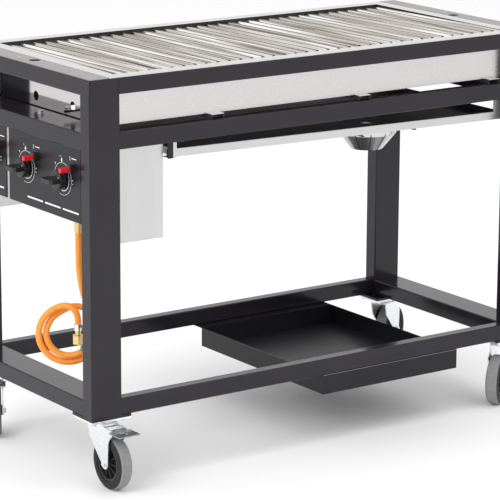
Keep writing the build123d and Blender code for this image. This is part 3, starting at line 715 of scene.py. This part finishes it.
def add_hub_ribs(corner, middle, axle):
    """Ten ribs on both faces of a hub, higher at the boss than at the rim."""
    ribs, half_rib, web_face = 10, 0.0013, 0.0055
    foot_radius, rim_radius, rim_rise, foot_to_rim_rise = 0.0125, 0.0368, 0.0060, 1.5

    def build(shape):
        side, other = frame_of(axle)
        for step in range(ribs):
            angle = math.tau * step / ribs
            out = side * math.cos(angle) + other * math.sin(angle)
            across = axle.cross(out) * half_rib
            for face in (-1, 1):
                near = middle + axle * face * web_face
                rise = axle * face * rim_rise
                foot = near + out * foot_radius - across
                rim = near + out * rim_radius - across
                outline = [foot, rim, rim + rise, foot + rise * foot_to_rim_rise]
                prism(shape, outline, across * 2)

    piece(f"hub_{corner}_ribs", build, "hub_plastic", f"wheel_{corner}")


for joint in frame["record"]["behaviour"]["joints"]:
    if joint["name"].startswith("wheel_"):
        corner = joint["name"].removeprefix("wheel_").removesuffix("_roll")
        middle, axle = Vector(joint["pos_m"]), Vector(joint["axis"]).normalized()
        add_tyre(corner, middle, axle)
        add_hub_ribs(corner, middle, axle)


# ======================================================================== gas hose
# The drop's points are the ones that the CAD tube follows; the turns on the hook come after.
hose_radius = 0.0075
inlet = Vector((x_left + 0.037, y_front + 0.112, 0.580))
coil_middle = Vector((x_left + 0.032, y_front + 0.150, 0.335))
coil_across = Vector((0.835, -0.550, 0)).normalized()
coil_normal = Vector((-0.550, -0.835, 0)).normalized()


def on_coil(across, up, forward):
    """A point given in the coil's own plane: across it, up it, and out of it to the front."""
    return coil_middle + coil_across * across + Vector((0, 0, up)) + coil_normal * forward


def eased(share):
    """0 before 0, 1 after 1, and a smooth rise between."""
    share = min(max(share, 0.0), 1.0)
    return share * share * (3 - 2 * share)


def hose_points():
    """The hose's control points: the drop, nearly two clockwise turns, and the free end."""
    drop = [
        inlet,
        inlet + Vector((0, 0, -0.050)),
        inlet + Vector((0.003, 0.002, -0.100)),
        inlet + Vector((0.015, 0.006, -0.148)),
        on_coil(0.048, 0.057, 0.003),
    ]
    # The inner turn is 53 mm in radius. At the top it passes behind the drop, and widens into
    # the outer turn, which comes forward as it goes round.
    coil = []
    steps = 23
    start_degrees, whole_degrees = 25.0, 638.0
    for step in range(steps + 1):
        turned_by = whole_degrees * step / steps
        angle = math.radians(start_degrees - turned_by)
        radius = 0.0535 + 0.009 * (1 - eased(turned_by / 90))
        radius += 0.0175 * eased((turned_by - 270) / 60)
        forward = 0.001 - 0.0145 * eased((turned_by - 220) / 95)
        forward += 0.022 * eased((turned_by - 370) / 240)
        coil.append(on_coil(radius * math.cos(angle), radius * math.sin(angle), forward))
    tail = [
        on_coil(0.002, 0.070, 0.015),
        on_coil(0.017, 0.059, 0.017),
        on_coil(0.022, 0.040, 0.018),
        on_coil(0.022, 0.027, 0.018),
        on_coil(0.022, 0.015, 0.018),
    ]
    return drop + coil + tail


def nurbs_line(name, points, radius):
    """A smooth round cord through a list of control points."""
    data = bpy.data.curves.new(name, "CURVE")
    data.dimensions = "3D"
    data.bevel_depth = radius
    data.bevel_resolution = 8
    data.resolution_u = 10
    data.use_fill_caps = True
    line = data.splines.new("NURBS")
    line.points.add(len(points) - 1)
    for control, point in zip(line.points, points):
        control.co = (*point, 1.0)
    line.order_u = 3
    line.use_endpoint_u = True
    made = bpy.data.objects.new(name, data)
    scene.collection.objects.link(made)
    return made


def add_ferrule(tail_end):
    """The zinc sleeve crimped on the hose's free end, with eased rims."""
    first, last, radius, wall = -0.0122, 0.0035, 0.0092, 0.0012
    ease_along, ease_in = 0.0004, 0.0003
    profile = [
        (first, radius - wall),
        (first, radius - ease_in),
        (first + ease_along, radius),
        (last - ease_along, radius),
        (last, radius - ease_in),
        (last, radius - wall),
    ]

    def build(shape):
        turned(shape, tail_end, Vector((0, 0, -1)), profile, 48)

    smooth(piece("hose_end_ferrule", build, "zinc"), 0.5)


hose = nurbs_line("hose_line", hose_points(), hose_radius)
hose.data.materials.append(finishes["hose_rubber"])
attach(hose, "frame")
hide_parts("gas_hose", "hose_coil")
add_ferrule(hose_points()[-1])


# ======================================================================== stage and light
def add_floor():
    """A plain pale floor, wide enough for its edge to be out of sight."""
    mesh = bpy.data.meshes.new("floor")
    shape = bmesh.new()
    reach = 30.0
    corners = [(-reach, -reach), (reach, -reach), (reach, reach), (-reach, reach)]
    shape.faces.new([shape.verts.new((x, y, 0)) for x, y in corners])
    shape.to_mesh(mesh)
    shape.free()
    floor = bpy.data.objects.new("floor", mesh)
    scene.collection.objects.link(floor)
    mesh.materials.append(Finish("floor_paper", (0.93, 0.93, 0.93), 0.75).material)


def add_light(name, place, target, size, power):
    """A softbox aimed at a point."""
    data = bpy.data.lights.new(name, "AREA")
    data.shape = "RECTANGLE"
    data.size, data.size_y = size
    data.energy = power
    light = bpy.data.objects.new(name, data)
    scene.collection.objects.link(light)
    light.location = place
    aim = Vector(target) - Vector(place)
    light.rotation_euler = aim.to_track_quat("-Z", "Y").to_euler()


def add_world(strength):
    """An even white studio."""
    world = bpy.data.worlds.new("studio")
    world.use_nodes = True
    background = world.node_tree.nodes["Background"]
    background.inputs["Color"].default_value = (1.0, 1.0, 1.0, 1.0)
    background.inputs["Strength"].default_value = strength
    scene.world = world


add_floor()
add_world(1.02)
add_light("key", (-3.6, -1.2, 3.2), (0, 0, 0.5), (2.0, 2.0), 60)
add_light("fill", (1.5, -4.5, 2.6), (0, 0, 0.5), (3.5, 2.5), 20)
add_light("top", (0.3, 0.4, 4.2), (0, 0, 0.6), (3.0, 3.0), 35)
scene.view_settings.view_transform = "Standard"
scene.view_settings.look = "None"
